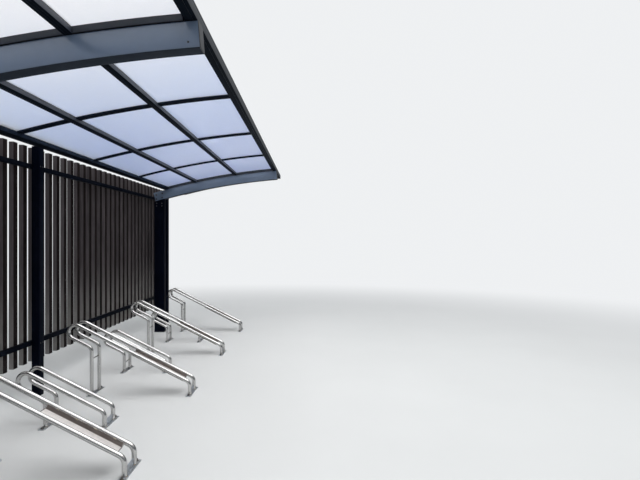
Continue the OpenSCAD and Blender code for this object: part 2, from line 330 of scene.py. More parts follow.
@dataclass(frozen=True)
class GrainedSlat(Surface):
    """Matt foil-wrapped slat with an upright wood grain, painted shade on broad faces, painted
    light on edges.
    """

    # broad faces: the wood's tones darkened as painted shade; narrow edges: lighter tones as
    # painted light
    dark: Colour
    light: Colour
    edge_dark: Colour
    edge_light: Colour
    splash_colour: Colour

    def paint(self, g: Graph) -> None:
        """Adds the foil's nodes.

        Args:
            g: The material's empty graph.
        """
        # narrow faces, which take the painted light
        edge = abs(g.facing("Y")).step(0.55, 0.95)
        fibre = g.noise(g.place((1.0, 1.0, 0.02)), 420.0, 4.0, 0.62)
        figure = g.noise(g.place((1.0, 1.0, 0.045)), 46.0, 5.0, 0.6)
        board = g.noise(g.place((1.0, 1.0, 0.001)), 7.3, 1.0)
        height = g.axis(g.here, "Z")
        splash = height.step(0.75, 0.28) * g.noise(g.here, 26.0, 5.0, 0.65).step(0.4, 0.65)
        tone = (figure.step(0.3, 0.7) * 0.6 + fibre * 0.3 + board.step(0.35, 0.65) * 0.35).clamped()
        wood = g.mix(edge, g.mix(tone, self.dark, self.light),
                     g.mix(tone, self.edge_dark, self.edge_light))
        # the narrow edges grow paler towards the foot
        pale = edge * height.step(1.2, 0.32) * (g.noise(g.here, 9.0, 4.0, 0.6) * 0.5 + 0.5)
        g.principled(
            Base_Color=g.mix((splash * 0.05 + pale).clamped(), wood, self.splash_colour),
            Roughness=0.5 + fibre * 0.22 + splash * 0.15, Specular_IOR_Level=0.02,
            Normal=g.bump(fibre * 0.7 + figure * 0.3, 0.0004, 0.6))


@dataclass(frozen=True)
class BrushedSteel(Surface):
    """Stainless steel with fine brush lines, faint smears, small scratches and painted shade on
    undersides.
    """

    colour: Colour
    roughness: float
    stain: float
    lines: tuple[float, float, float] = (400.0, 400.0, 1.0)
    # colour of stains, also used as painted shade on undersides
    stain_colour: Colour = (0.2, 0.175, 0.145)

    def paint(self, g: Graph) -> None:
        """Adds the steel's nodes.

        Args:
            g: The material's empty graph.
        """
        brush = g.noise(g.place(self.lines, "UV"), 1.0, 4.0, 0.7)
        smear = g.noise(g.here, 14.0, 5.0, 0.6)
        scratch = g.noise(g.place((60.0, 900.0, 1.0), "UV"), 1.0, 2.0).step(0.66, 0.7)
        foot = g.axis(g.here, "Z").step(0.1, 0.0) * g.noise(g.here, 60.0, 4.0, 0.65).step(0.38, 0.6)
        # stains, plus painted shade: downward faces darken towards the stain colour
        marks = ((smear.step(0.45, 0.75) * 0.5 + foot).clamped() * self.stain
                 + g.facing("Z").step(-0.1, -0.7) * (smear * 0.5 + 0.3)).clamped()
        g.principled(
            Base_Color=g.mix(marks, g.shades(brush, self.colour, 0.86, 1.0), self.stain_colour),
            Metallic=1.0 - marks * 0.45,
            Roughness=self.roughness + (brush - 0.5) * 0.16 + marks * 0.35 + scratch * 0.12,
            # the dark specular tint darkens grazing reflections, painted shade along the outlines
            Specular_Tint=(0.12, 0.125, 0.135), Normal=g.bump(brush, 0.00005, 0.35))


@dataclass(frozen=True)
class FoldedSheet(Surface):
    """Folded stainless sheet, bright on its flat, with its steep walls painted dark brown as shade.
    """

    flat: Colour
    # painted shade: the dark colour of the steep walls
    wall: Colour

    def paint(self, g: Graph) -> None:
        """Adds the sheet's nodes.

        Args:
            g: The material's empty graph.
        """
        # steep walls, which take the painted shade
        steep = abs(g.facing("Y")).step(0.45, 0.85)
        brush = g.noise(g.place((30.0, 800.0, 1.0), "UV"), 1.0, 4.0, 0.7)
        rub = g.noise(g.place((5.0, 90.0, 1.0), "UV"), 1.0, 4.0, 0.6).step(0.5, 0.72)
        grime = g.noise(g.here, 22.0, 5.0, 0.65).step(0.4, 0.7)
        worn = (rub * 0.5 + grime * 0.35).clamped()
        g.principled(
            Base_Color=g.mix(steep, g.shades(worn, self.flat, 1.0, 0.6),
                             g.shades(worn, self.wall, 1.0, 1.6)),
            Metallic=0.45 - worn * 0.2 + steep * 0.15,
            Roughness=0.3 + (brush - 0.5) * 0.2 + worn * 0.25 + steep * 0.12,
            Normal=g.bump(brush, 0.00008, 0.4))


@dataclass(frozen=True)
class WeldSkin(Surface):
    """Weld bead: rippled metal with straw and blue heat tints."""

    def paint(self, g: Graph) -> None:
        """Adds the weld's nodes.

        Args:
            g: The material's empty graph.
        """
        ripple = g.cells(g.here, 420.0)
        tints = g.ramp(g.noise(g.here, 90.0), (0.3, (0.42, 0.4, 0.37)), (0.5, (0.36, 0.3, 0.2)),
                       (0.68, (0.16, 0.19, 0.26)))
        g.principled(Base_Color=tints, Metallic=1.0, Roughness=0.34 + ripple * 0.3,
                     Normal=g.bump(ripple, 0.0008, 0.7))


@dataclass(frozen=True)
class Moulded(Surface):
    """Moulded plastic or rubber with a fine spark-eroded grain and a dusty bloom."""

    colour: Colour
    bloom: Colour
    roughness: float
    gloss: float = 0.4

    def paint(self, g: Graph) -> None:
        """Adds the moulding's nodes.

        Args:
            g: The material's empty graph.
        """
        film = g.noise(g.here, 11.0, 5.0, 0.6).step(0.42, 0.75) * 0.5
        grain = g.noise(g.here, 1600.0, 2.0)
        g.principled(
            Base_Color=g.mix(film, self.colour, self.bloom),
            Roughness=self.roughness + film * 0.25 + (grain - 0.5) * 0.1,
            Specular_IOR_Level=self.gloss, Normal=g.bump(grain, 0.0001, 0.5))


@dataclass(frozen=True)
class PaleFloor(Surface):
    """Plain pale floor that fades into the white surround far from the shelter."""

    colour: Colour
    middle: tuple[float, float, float] = (1.0, 2.5, 0.0)
    fade_from: float = 4.2
    fade_to: float = 11.0

    def paint(self, g: Graph) -> None:
        """Adds the floor's nodes.

        Args:
            g: The material's empty graph.
        """
        tone = g.shades(g.noise(g.here, 0.7, 4.0, 0.55), self.colour, 0.95, 1.04)
        ground = g.add("ShaderNodeBsdfPrincipled", {}, {
            "Base Color": tone, "Roughness": 0.85,
            "Normal": g.bump(g.noise(g.here, 240.0, 2.0), 0.0004, 0.4)})
        white = g.add("ShaderNodeEmission", {}, {0: Studio.SURROUND, 1: 1.0})
        far = g.add("ShaderNodeVectorMath", {"operation": "DISTANCE"},
                    {0: g.here, 1: self.middle}, output="Value")
        fade = far.step(self.fade_from, self.fade_to) * g.ray("Camera")
        g.close(g.add("ShaderNodeMixShader", {}, {0: fade, 1: ground, 2: white}))


class Finish(Enum):
    """Every finish on the shelter, and the floor's."""

    FRAME = PowderCoat("frame_coat", (0.0034, 0.0046, 0.0085), 0.006)
    # painted light: the side colours below light the upright faces; PURLIN, FRONT and SADDLE are
    # lit copies of the roof bar coat
    ROOF_BAR = PowderCoat("roof_bar_coat", (0.0045, 0.0065, 0.0105), 0.003,
                          side=(0.011, 0.016, 0.027))
    PURLIN = PowderCoat("purlin_coat", (0.0045, 0.0065, 0.0105), 0.003,
                        side=(0.031, 0.037, 0.051), side_coat=0.36)
    FRONT = PowderCoat("front_frame_coat", (0.0055, 0.008, 0.0125), 0.005,
                       side=(0.05, 0.054, 0.06), side_coat=0.4)
    SADDLE = PowderCoat("saddle_bar_coat", (0.0042, 0.0052, 0.0085), 0.05, 0.36, 0.05,
                        side=(0.026, 0.03, 0.038), side_coat=0.45)
    # painted shade: a darker copy of the beam coat for the beam's underside strip
    BEAM_SOLE = PowderCoat("beam_sole_shade_coat", (0.022, 0.028, 0.038), 0.01, dust=0.05)
    POST = PowderCoat("post_coat", (0.0015, 0.0027, 0.0078), 0.018, 0.44)
    # blue-grey coat, partly lightened as painted reflection of the sky on its glossy face
    BEAM = PowderCoat("beam_coat", (0.11, 0.148, 0.215), 0.95, 0.24, 0.12, (0.13, 0.14, 0.15))
    END_CAP = Moulded("end_cap_plastic", (0.06, 0.063, 0.068), (0.12, 0.122, 0.126), 0.5, 0.1)
    DARK_CAP = Moulded("dark_cap_plastic", (0.011, 0.012, 0.014), (0.05, 0.05, 0.048), 0.5)
    GASKET = Moulded("gasket_rubber", (0.006, 0.006, 0.0065), (0.03, 0.03, 0.03), 0.7)
    DARK_SCREW = Moulded("painted_screw", (0.014, 0.015, 0.018), (0.06, 0.06, 0.058), 0.4)
    SHEET = FrostedSheet("frosted_sheet", (0.99, 0.99, 1.0), (0.93, 0.94, 0.965))
    # the dark broad-face tones are painted shade, the lighter edge tones painted light
    SLAT = GrainedSlat("grained_slat", (0.0046, 0.0033, 0.0035), (0.0145, 0.0105, 0.011),
                       (0.035, 0.0305, 0.0325), (0.088, 0.077, 0.081), (0.23, 0.222, 0.212))
    TUBE = BrushedSteel("brushed_tube", (0.61, 0.607, 0.6), 0.17, 0.16, (900.0, 30.0, 1.0))
    # light steel, its blue cast painted reflection of the sky
    PLATE = BrushedSteel("foot_plate_steel", (0.75, 0.8, 0.87), 0.3, 0.5, (260.0, 260.0, 1.0))
    BOLT = BrushedSteel("bolt_steel", (0.5, 0.5, 0.5), 0.28, 0.5)
    ANCHOR = BrushedSteel("anchor_bolt_steel", (0.16, 0.165, 0.18), 0.3, 0.6)
    # the second, dark colour is painted shade on the walls
    TROUGH = FoldedSheet("folded_trough", (0.9, 0.86, 0.84), (0.16, 0.138, 0.126))
    WELD = WeldSkin("weld_bead")
    FLOOR = PaleFloor("pale_floor", (0.66, 0.665, 0.66))

    @property
    def material(self) -> bpy.types.Material:
        """The finish's material, made at its first use."""
        return bpy.data.materials.get(self.value.name) or self.value.build()


# Outlines and meshes


def rounded(points: Sequence[Point2], radius: float, steps: int = 3) -> list[Point2]:
    """Rounds every corner of a closed outline.

    Args:
        points: The outline's corners in order.
        radius: Radius at each corner, less where a side is short.
        steps: Number of lengths at each corner.

    Returns:
        The rounded outline.
    """
    made: list[Point2] = []
    for i, point in enumerate(points):
        here = Vector(point)
        before, after = Vector(points[i - 1]) - here, Vector(points[(i + 1) % len(points)]) - here
        cut = min(radius / math.tan(before.angle(after) / 2), 0.45 * before.length,
                  0.45 * after.length)
        start, end = here + before.normalized() * cut, here + after.normalized() * cut
        for k in range(steps + 1):
            t = k / steps
            made.append(tuple(start * (1 - t) ** 2 + here * 2 * t * (1 - t) + end * t ** 2))
    return made


def rectangle(x0: float, x1: float, y0: float, y1: float, radius: float = 0.0015) -> list[Point2]:
    """Rounded rectangle between two pairs of limits."""
    return rounded([(x0, y0), (x1, y0), (x1, y1), (x0, y1)], radius)


def circle(radius: float, sides: int) -> list[Point2]:
    """Closed circle about the origin."""
    turn = 2 * math.pi / sides
    return [(radius * math.cos(i * turn), radius * math.sin(i * turn)) for i in range(sides)]


def bend(centre: Vector, radius: float, start: float, turn: float, steps: int) -> list[Vector]:
    """Points of an arc in the plane of X and Z, from an angle through a turn."""
    angles = (start + turn * i / steps for i in range(steps + 1))
    return [centre + radius * Vector((math.cos(angle), math.sin(angle))) for angle in angles]


def headings(line: Sequence[Vector]) -> list[Vector]:
    """Direction of a line at each of its points."""
    return [(after - before).normalized()
            for before, after in zip([line[0], *line], [*line[1:], line[-1]])]


def spread(start: float, end: float, count: int) -> list[float]:
    """Middles of equal lengths between two limits."""
    return [start + (k + 0.5) * (end - start) / count for k in range(count)]


@dataclass(frozen=True)
class Station:
    """One place on a sweep: where it is and which way its outline's two axes point."""

    at: Vector
    first: Vector
    second: Vector
    size: float = 1.0


def along(y0: float, y1: float, at: Vector = Vector(), first: Vector = X,
          second: Vector = Z) -> list[Station]:
    """The two stations of a plain bar along the shelter."""
    return [Station(at + Y * y, first, second) for y in (y0, y1)]


def eased(start: Vector, end: Vector, first: Vector, second: Vector, ease: float,
          reach: float) -> list[Station]:
    """Stations of a straight bar whose two ends are slightly eased.

    Args:
        start: One end.
        end: The other end.
        first: The outline's first axis.
        second: The outline's second axis.
        ease: Depth of the eased edge at each end.
        reach: Half the outline's size, from which the ease follows.

    Returns:
        Four stations.
    """
    way = (end - start).normalized() * ease
    small = 1.0 - ease / reach
    return [Station(start, first, second, small), Station(start + way, first, second),
            Station(end - way, first, second), Station(end, first, second, small)]


def placed(name: str, data: bpy.types.ID) -> bpy.types.Object:
    """Puts a new object in the scene.

    Args:
        name: Its name.
        data: Its mesh, lamp or camera.

    Returns:
        The object.
    """
    made = bpy.data.objects.new(name, data)
    bpy.context.scene.collection.objects.link(made)
    return made


@dataclass
class Shape:
    """Collects surfaces and turns them into one piece of the shelter."""

    CRISP = math.radians(35)  # edges sharper than this stay crisp

    name: str
    points: list[Vector] = field(default_factory=list)
    faces: list[tuple[int, ...]] = field(default_factory=list)
    uvs: list[float] = field(default_factory=list)
    marks: list[int] = field(default_factory=list)
    finishes: list[Finish] = field(default_factory=list)

    def _face(self, corners: Sequence[int], spots: Sequence[Point2], mark: int,
              order: int) -> None:
        """Adds one face.

        Args:
            corners: Numbers of its points.
            spots: Their UV.
            mark: Number of its finish on this piece.
            order: 1, or -1 to turn the face over.
        """
        self.faces.append(tuple(corners[::order]))
        self.uvs += [length for spot in spots[::order] for length in spot]
        self.marks.append(mark)

    def sweep(self, outline: Sequence[Point2], stations: Sequence[Station], finish: Finish,
              ring: bool = False) -> None:
        """Carries a closed outline along a path, with every face turned outward.

        Args:
            outline: The outline's points, in either direction.
            stations: The places that it passes.
            finish: The surface's finish.
            ring: True where the last station joins the first. Otherwise both ends are closed.
        """
        if finish not in self.finishes:
            self.finishes.append(finish)
        mark, base, count = self.finishes.index(finish), len(self.points), len(outline)
        around, area = [0.0], 0.0
        for a, b in zip(outline, [*outline[1:], outline[0]]):
            around.append(around[-1] + math.dist(a, b))
            area += a[0] * b[1] - b[0] * a[1]
        first, second = stations[0].first, stations[0].second
        way = first.cross(second).dot(stations[1].at - stations[0].at)
        order = 1 if area * way > 0 else -1
        lengths = [0.0]
        for one, two in zip(stations, stations[1:]):
            lengths.append(lengths[-1] + (two.at - one.at).length)
        middle = Vector((sum(p[0] for p in outline), sum(p[1] for p in outline))) / count
        for s in stations:
            for a, b in outline:
                u, v = middle.x + (a - middle.x) * s.size, middle.y + (b - middle.y) * s.size
                self.points.append(s.at + s.first * u + s.second * v)
        rows = len(stations)
        for r in range(rows if ring else rows - 1):
            q = (r + 1) % rows
            low, high = lengths[r], lengths[q or -1]
            near, far = base + r * count, base + q * count
            for i in range(count):
                j = (i + 1) % count
                left, right = around[i], around[i + 1]
                self._face((near + i, near + j, far + j, far + i),
                           ((low, left), (low, right), (high, right), (high, left)), mark, order)
        if not ring:
            for start, turned in ((base, -order), (base + (rows - 1) * count, order)):
                self._face(range(start, start + count), outline, mark, turned)

    def capped(self, outline: Sequence[Point2], start: Vector, end: Vector,
               axes: tuple[Vector, Vector], finish: Finish, crown: float) -> None:
        """Adds a straight bar with a thin dark cap at both ends.

        Args:
            outline: The bar's outline.
            start: One end.
            end: The other end.
            axes: The outline's two axes.
            finish: The bar's finish.
            crown: Size of the caps' faces, as a share of the bar's.
        """
        thick, edge, size = 0.003, 0.0008, 0.985
        way = (end - start).normalized()
        body = [Station(start + way * thick, *axes), Station(end - way * thick, *axes)]
        self.sweep(outline, body, finish)
        for tip, inward in ((start, way), (end, -way)):
            cap = [Station(tip + inward * t, *axes, s)
                   for t, s in ((0.0, crown), (edge, size), (thick, size))]
            self.sweep(outline, cap, Finish.DARK_CAP)

    def turned(self, at: Vector, axis: Vector, outline: Sequence[Point2], finish: Finish,
               sides: int = 20) -> None:
        """Turns an open outline about an axis, such as a bolt head's.

        Args:
            at: The foot of the axis.
            axis: Its direction, with length 1.
            outline: Radius and height of each ring, from the foot up.
            finish: The surface's finish.
            sides: Number of sides, 6 for a hexagon.
        """
        first = axis.orthogonal().normalized()
        second = axis.cross(first)
        self.sweep(circle(1.0, sides), [Station(at + axis * h, first, second, max(r, 1e-5))
                                        for r, h in outline], finish)

    def weld(self, at: Vector, axis: Vector, radius: float, size: float) -> None:
        """Adds a rippled weld bead round a tube.

        Args:
            at: Middle of the bead's ring.
            axis: The tube's direction.
            radius: Radius of the tube.
            size: Half the bead's width.
        """
        first, count, stations = axis.orthogonal().normalized(), 36, []
        second = axis.cross(first)
        for i in range(count):
            t = 2 * math.pi * i / count
            out = first * math.cos(t) + second * math.sin(t)
            swell = 1.0 + 0.12 * math.sin(9 * t) + 0.06 * math.sin(23 * t + 1.0)
            stations.append(Station(at + out * radius, out, axis, swell))
        self.sweep(circle(size, 8), stations, Finish.WELD, ring=True)

    def build(self, slot: str, *nodes: str) -> None:
        """Makes the Blender object and lets it ride on the frame.

        Args:
            slot: Name of a material slot; not used.
            nodes: The CAD nodes that it stands for.
        """
        mesh = bpy.data.meshes.new(self.name)
        mesh.from_pydata([tuple(p) for p in self.points], [], self.faces)
        mesh.uv_layers.new(name="lengths").data.foreach_set("uv", self.uvs)
        mesh.polygons.foreach_set("material_index", self.marks)
        for finish in self.finishes:
            mesh.materials.append(finish.material)
        mesh.shade_smooth()
        mesh.set_sharp_from_angle(angle=self.CRISP)
        mesh.update()
        piece = placed(self.name, mesh)
        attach(piece, "root")
        if nodes:
            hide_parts(*nodes)


@dataclass(frozen=True)
class Fixing:
    """A screw or bolt, drawn on a piece where it is driven."""

    head: float = 0.0075
    rise: float = 0.0045
    washer: float = 0.0
    hexagon: bool = False
    finish: Finish = Finish.BOLT
    washer_rise: float = 0.0016

    def drive(self, shape: Shape, at: Vector, axis: Vector) -> None:
        """Adds the fixing to a piece.

        Args:
            shape: The piece.
            at: The spot on its surface.
            axis: The surface's outward direction.
        """
        r, h = self.head, self.rise
        if self.washer:
            w, lift = self.washer, self.washer_rise
            shape.turned(at, axis, [(w, -SINK), (w, lift * 0.7), (w * 0.94, lift), (0, lift)],
                         self.finish)
            at = at + axis * lift
        if self.hexagon:
            shape.turned(at, axis, [(r, -SINK), (r, h * 0.86), (r * 0.9, h), (r * 0.55, h)],
                         self.finish, 6)
            shape.turned(at + axis * h, axis, [(r * 0.5, -h * 0.3), (r * 0.5, h * 0.55),
                                               (r * 0.42, h * 0.66), (0, h * 0.66)],
                         self.finish, 16)
        else:
            shape.turned(at, axis, [
                (r, -SINK), (r, h * 0.2), (r * 0.9, h * 0.62), (r * 0.62, h * 0.93),
                (r * 0.4, h), (r * 0.36, h), (r * 0.33, h * 0.45), (0, h * 0.45)], self.finish)


# Roof


@dataclass(frozen=True)
class RoofCurve:
    """The circle that the beams, bars and sheets follow, in the plane of X and Z."""

    crest_x: float = 2.562
    centre_z: float = -7.1
    beam: float = 9.6
    sheet: float = 9.634

    @property
    def centre(self) -> Vector:
        """Centre of the circle."""
        return Vector((self.crest_x, 0, self.centre_z))

    def angle(self, x: float, radius: float) -> float:
        """Angle from +X to the point at x on a circle of that radius."""
        return math.acos((x - self.crest_x) / radius)

    def axes(self, angle: float) -> tuple[Vector, Vector]:
        """Directions outward from the circle and forward along it."""
        return (Vector((math.cos(angle), 0, math.sin(angle))),
                Vector((math.sin(angle), 0, -math.cos(angle))))

    def point(self, x: float, radius: float, y: float = 0.0) -> Vector:
        """Point at x on a circle of that radius."""
        return self.centre + Y * y + self.axes(self.angle(x, radius))[0] * radius

    def stations(self, x_from: float, x_to: float, radius: float, y: float,
                 steps: int) -> list[Station]:
        """Stations of a sweep whose outline is (distance across, height above the radius).

        Args:
            x_from: Where it starts, at that radius.
            x_to: Where it ends.
            radius: The circle's radius.
            y: The sweep's middle line.
            steps: Number of lengths.

        Returns:
            The stations from start to end.
        """
        a, b = self.angle(x_from, radius), self.angle(x_to, radius)
        outs = [self.axes(a + (b - a) * i / steps)[0] for i in range(steps + 1)]
        return [Station(self.centre + Y * y + out * radius, Y, out) for out in outs]


@dataclass(frozen=True)
class GlazingBar:
    """A bar under the sheets' joints, with its web, chamfered cover strip and seals.

    Every outline is (distance from the middle line, height above the sheets' underside).
    """

    outline: Sequence[Point2]
    half: float
    finish: Finish
    seals: Sequence[tuple[float, float]]
    web_round: float
    web_half: float = 0.005
    cover_half: float = 0.022
    cover_low: float = 0.0043
    cover_edge: float = 0.006
    cover_top: float = 0.0083
    screw: Fixing = Fixing(0.006, 0.0035, 0.0085)
    screw_pitch: float = 0.3

    def draw(self, shape: Shape, stations: Sequence[Station]) -> None:
        """Adds one length of the bar.

        Args:
            shape: The piece that it belongs to.
            stations: The length's two ends, and the places between them on a curve.
        """
        c, low, edge, top = self.cover_half, self.cover_low, self.cover_edge, self.cover_top
        web = rectangle(-self.web_half, self.web_half, -0.0006, edge, self.web_round)
        strip = rounded([(-c, low), (c, low), (c, edge), (c - 0.005, top), (0.005 - c, top),
                         (-c, edge)], 0.0012)
        for outline in (self.outline, web, strip):
            shape.sweep(outline, stations, self.finish)
        for side in SIDES:
            middle = side * (self.half - 0.0015)
            for start, end in self.seals:
                seal = rectangle(middle - 0.0017, middle + 0.0017, start, end, 0.0008)
                shape.sweep(seal, stations, Finish.GASKET)


@dataclass
class Roof:
    """Beams, frame, bars and sheets of the roof."""

    label = "roof"

    nodes: Mapping[str, bpy.types.Object]
    curve: RoofCurve = RoofCurve()
    start_y: float = -0.95
    end_y: float = 5.99
    beam_y: tuple[float, float] = (0.0, 5.04)
    bay: float = 1.26
    bays: int = 4
    beam_depth: float = 0.132
    beam_half: float = 0.044
    beam_reach: float = 1.79
    beam_back: float = -0.09
    sole_thick: float = 0.004
    bolt_inset: float = 0.045
    bolt_drop: tuple[float, float] = (0.04, 0.1)
    cap_thick: float = 0.005
    frame_x: tuple[float, float] = (1.726, 1.79)
    frame_height: float = 0.06
    frame_inset: float = 0.0053
    lip_x: float = 1.718
    gutter_x: tuple[float, float] = (0.036, 0.14)
    gutter_height: float = 0.088
    wall: float = 0.003
    end_width: float = 0.042
    end_rise: float = 0.018
    purlin_x: tuple[float, float] = (0.556, 1.165)
    purlin_half: float = 0.023
    bar_half: float = 0.033
    bar_depth: float = 0.012
    saddle_half: float = 0.054

    def beams(self) -> None:
        """The two cantilever beams, each with fixings, a tip cap and a sole strip darkened as
        painted shade.
        """
        h, curve, sole = self.beam_half, self.curve, self.sole_thick - self.beam_depth
        body = rectangle(-h, h, sole, 0.0, 0.004)
        strip = rounded([(0.003 - h, -self.beam_depth), (h - 0.003, -self.beam_depth),
                         (h - 0.0002, sole + 0.0004), (0.0002 - h, sole + 0.0004)], 0.0012)
        for name, y in zip(("near", "far"), self.beam_y):
            shape = Shape(f"beam_{name}_section")
            stations = curve.stations(self.beam_back, self.beam_reach - 0.0002, curve.beam, y, 64)
            shape.sweep(body, stations, Finish.BEAM)
            # painted shade on the beam's underside strip
            shape.sweep(strip, stations, Finish.BEAM_SOLE)
            self._beam_fixings(shape, y)
            shape.build("beam", f"beam_{name}")
            self._beam_cap(name, y)

    def _beam_fixings(self, shape: Shape, y: float) -> None:
        """Adds bolts at the beam's root above the post and a screw near its tip.

        Args:
            shape: The beam.
            y: Its middle line.
        """
        bolt = Fixing(0.0085, 0.006, 0.0125, finish=Finish.DARK_SCREW)
        screw = Fixing(0.0055, 0.003, finish=Finish.DARK_SCREW)
        inset, (high, low) = self.bolt_inset, self.bolt_drop
        places = [(bolt, x, drop) for x in (-inset, inset) for drop in (high, low)]
        places.append((screw, self.beam_reach - inset, low))
        for side in SIDES:
            for fixing, x, drop in places:
                at = self.curve.point(x, self.curve.beam - drop, y + side * self.beam_half)
                fixing.drive(shape, at, Y * side)

    def _beam_cap(self, name: str, y: float) -> None:
        """Makes the moulded cap on a beam's tip, crowned and with a shadow gap round it.

        Args:
            name: The beam's name.
            y: Its middle line.
        """
        shape = Shape(f"beam_cap_{name}_moulding")
        outline = rectangle(-self.beam_half, self.beam_half, -self.beam_depth, 0.0, 0.006)
        tip = self.curve.point(self.beam_reach, self.curve.beam, y)
        out, ahead = self.curve.axes(self.curve.angle(self.beam_reach, self.curve.beam))
        places = ((0.0, 0.97), (0.0006, 0.97), (0.0006, 1.0), (0.0034, 1.0), (0.0045, 0.985),
                  (self.cap_thick, 0.95))
        shape.sweep(outline, [Station(tip + ahead * t, Y, out, s) for t, s in places],
                    Finish.END_CAP)
        shape.build("cap", f"beam_cap_{name}")

    def front_frame(self) -> None:
        """Front frame with a drip groove, its inner lip, a seal and a plate on each end."""
        shape = Shape("front_frame_section")
        low = self.curve.point(self.beam_reach, self.curve.beam).z + SEAT
        lip_z = self.curve.point(self.lip_x, self.curve.sheet).z - SEAT
        (x0, x1), top = self.frame_x, low + self.frame_height
        y0, y1 = self.start_y + self.frame_inset, self.end_y - self.frame_inset
        outline = rounded([
            (x0, low), (x1 - 0.022, low), (x1 - 0.022, low + 0.0015), (x1 - 0.019, low + 0.0015),
            (x1 - 0.019, low), (x1, low), (x1, top - 0.014), (x1 - 0.0012, top - 0.0132),
            (x1 - 0.0012, top - 0.011), (x1, top - 0.0102), (x1, top), (x0, top)], 0.0028)
        lip = rectangle(self.lip_x, x0 + 0.001, lip_z - self.wall, lip_z, 0.0006)
        seal = rectangle(x0 - 0.005, x0 + 0.0004, lip_z + 0.0046, lip_z + 0.0085, 0.001)
        for section, finish in ((outline, Finish.FRONT), (lip, Finish.FRONT),
                                (seal, Finish.GASKET)):
            shape.sweep(section, along(y0, y1), finish)
        plate = rectangle(x0 + 0.0006, x1 - 0.0006, low + 0.0006, top - 0.0006, 0.004)
        for side, y in ((-1, y0), (1, y1)):
            face = y + side * 0.003
            shape.sweep(plate, eased(Y * (y - side * 0.001), Y * face, X, Z, 0.001, 0.04),
                        Finish.DARK_CAP)
            for z in (low + 0.016, top - 0.016):
                Fixing(0.0045, 0.0022).drive(shape, Vector(((x0 + x1) / 2, face, z)), Y * side)
        shape.build("frame", "front_frame")

    def gutter(self) -> None:
        """Open gutter along the back, with a folded rim and a plate in each end."""
        shape = Shape("rear_gutter_section")
        (x0, x1), t = self.gutter_x, self.wall
        low = self.curve.point(x1, self.curve.beam).z + SEAT
        lip = self.curve.point(x1 - t, self.curve.sheet).z - SEAT
        top = low + self.gutter_height
        outline = rounded([
            (x0, low), (x1, low), (x1, lip), (x1 - t, lip), (x1 - t, low + t), (x0 + t, low + t),
            (x0 + t, top - 0.006), (x0 + 0.007, top - 0.006), (x0 + 0.007, top), (x0, top)],
            0.0014, 2)
        shape.sweep(outline, along(self.start_y, self.end_y), Finish.ROOF_BAR)
        plate = rounded([(x0 + t, low + t), (x1 - t, low + t), (x1 - t, lip),
                         (x0 + t, top - 0.008)], 0.004)
        for side, y in ((-1, self.start_y), (1, self.end_y)):
            shape.sweep(plate, eased(Y * (y - side * 0.012), Y * (y - side * 0.0095), X, Z,
                                     0.0005, 0.04), Finish.DARK_CAP)
        shape.build("frame", "rear_gutter")

    def end_frames(self) -> None:
        """The frames across both ends, each with a seal along its inner side."""
        curve, half = self.curve, self.end_width / 2
        outline = rectangle(-half, half, curve.beam - curve.sheet, self.end_rise, 0.003)
        for name, y, inner in (("near", self.start_y + half, 1), ("far", self.end_y - half, -1)):
            shape = Shape(f"end_frame_{name}_section")
            stations = curve.stations(self.gutter_x[1] + SEAT, self.lip_x - SEAT, curve.sheet,
                                      y, 48)
            shape.sweep(outline, stations, Finish.ROOF_BAR)
            seal = rectangle(inner * half, inner * (half + 0.003), -0.004, 0.0075, 0.001)
            shape.sweep(seal, stations, Finish.GASKET)
            shape.build("frame", f"end_frame_{name}")

    def purlins(self) -> None:
        """The two bars along the roof, with a shallow groove below."""
        half, drop = self.purlin_half, self.curve.beam - self.curve.sheet
        y0, y1 = self.start_y + self.end_width + SEAT, self.end_y - self.end_width - SEAT
        outline = rounded([
            (-half, drop), (0.014 - half, drop), (0.0155 - half, drop + 0.0018),
            (half - 0.0155, drop + 0.0018), (half - 0.014, drop), (half, drop),
            (half, -SEAT), (-half, -SEAT)], 0.0026)
        bar = GlazingBar(outline, half, Finish.PURLIN, ((-0.002, 0.0004), (0.0021, 0.0045)),
                         0.0015)
        for name, x in zip(("rear", "front"), self.purlin_x):
            shape = Shape(f"purlin_{name}_section")
            out, across = self.curve.axes(self.curve.angle(x, self.curve.sheet))
            at = self.curve.point(x, self.curve.sheet)
            bar.draw(shape, along(y0, y1, at, across, out))
            for y in spread(y0, y1, int((y1 - y0) / bar.screw_pitch)):
                bar.screw.drive(shape, at + Y * y + out * bar.cover_top, out)
            shape.build("frame", f"purlin_{name}")

    def crossbars(self) -> None:
        """The bars from back to front. The two above the beams are wider and deeper."""
        curve, clear = self.curve, self.purlin_half + 0.0008
        limits = [self.gutter_x[1] + SEAT,
                  *(x + gap for x in self.purlin_x for gap in (-clear, clear)),
                  self.lip_x - SEAT]
        plain, saddle = (
            GlazingBar(rectangle(-half, half, low, -SEAT, 0.0022), half, finish,
                       ((-0.002, 0.0001),), 0.0005)
            for half, low, finish in (
                (self.bar_half, -self.bar_depth, Finish.ROOF_BAR),
                (self.saddle_half, curve.beam - curve.sheet + SEAT, Finish.SADDLE)))
        for i in range(self.bays + 1):
            y, bar = i * self.bay, saddle if i in (0, self.bays) else plain
            shape = Shape(f"crossbar_{i + 1}_section")
            for x0, x1 in zip(limits[0::2], limits[1::2]):
                bar.draw(shape, curve.stations(x0, x1, curve.sheet, y, 20))
                for x in spread(x0, x1, round((x1 - x0) / bar.screw_pitch)):
                    bar.screw.drive(shape, curve.point(x, curve.sheet + bar.cover_top, y),
                                    curve.axes(curve.angle(x, curve.sheet))[0])
            shape.build("frame", f"crossbar_{i + 1}")

    def sheets(self) -> None:
        """Gives the CAD's curved sheets their frosted finish."""
        for row in ("front", "middle", "rear"):
            for slot in self.nodes[f"roof_sheets_{row}"].material_slots:
                slot.material = Finish.SHEET.material

    def build(self) -> None:
        """Makes the whole roof."""
        self.beams()
        self.front_frame()
        self.gutter()
        self.end_frames()
        self.purlins()
        self.crossbars()
        self.sheets()


# Posts and screen


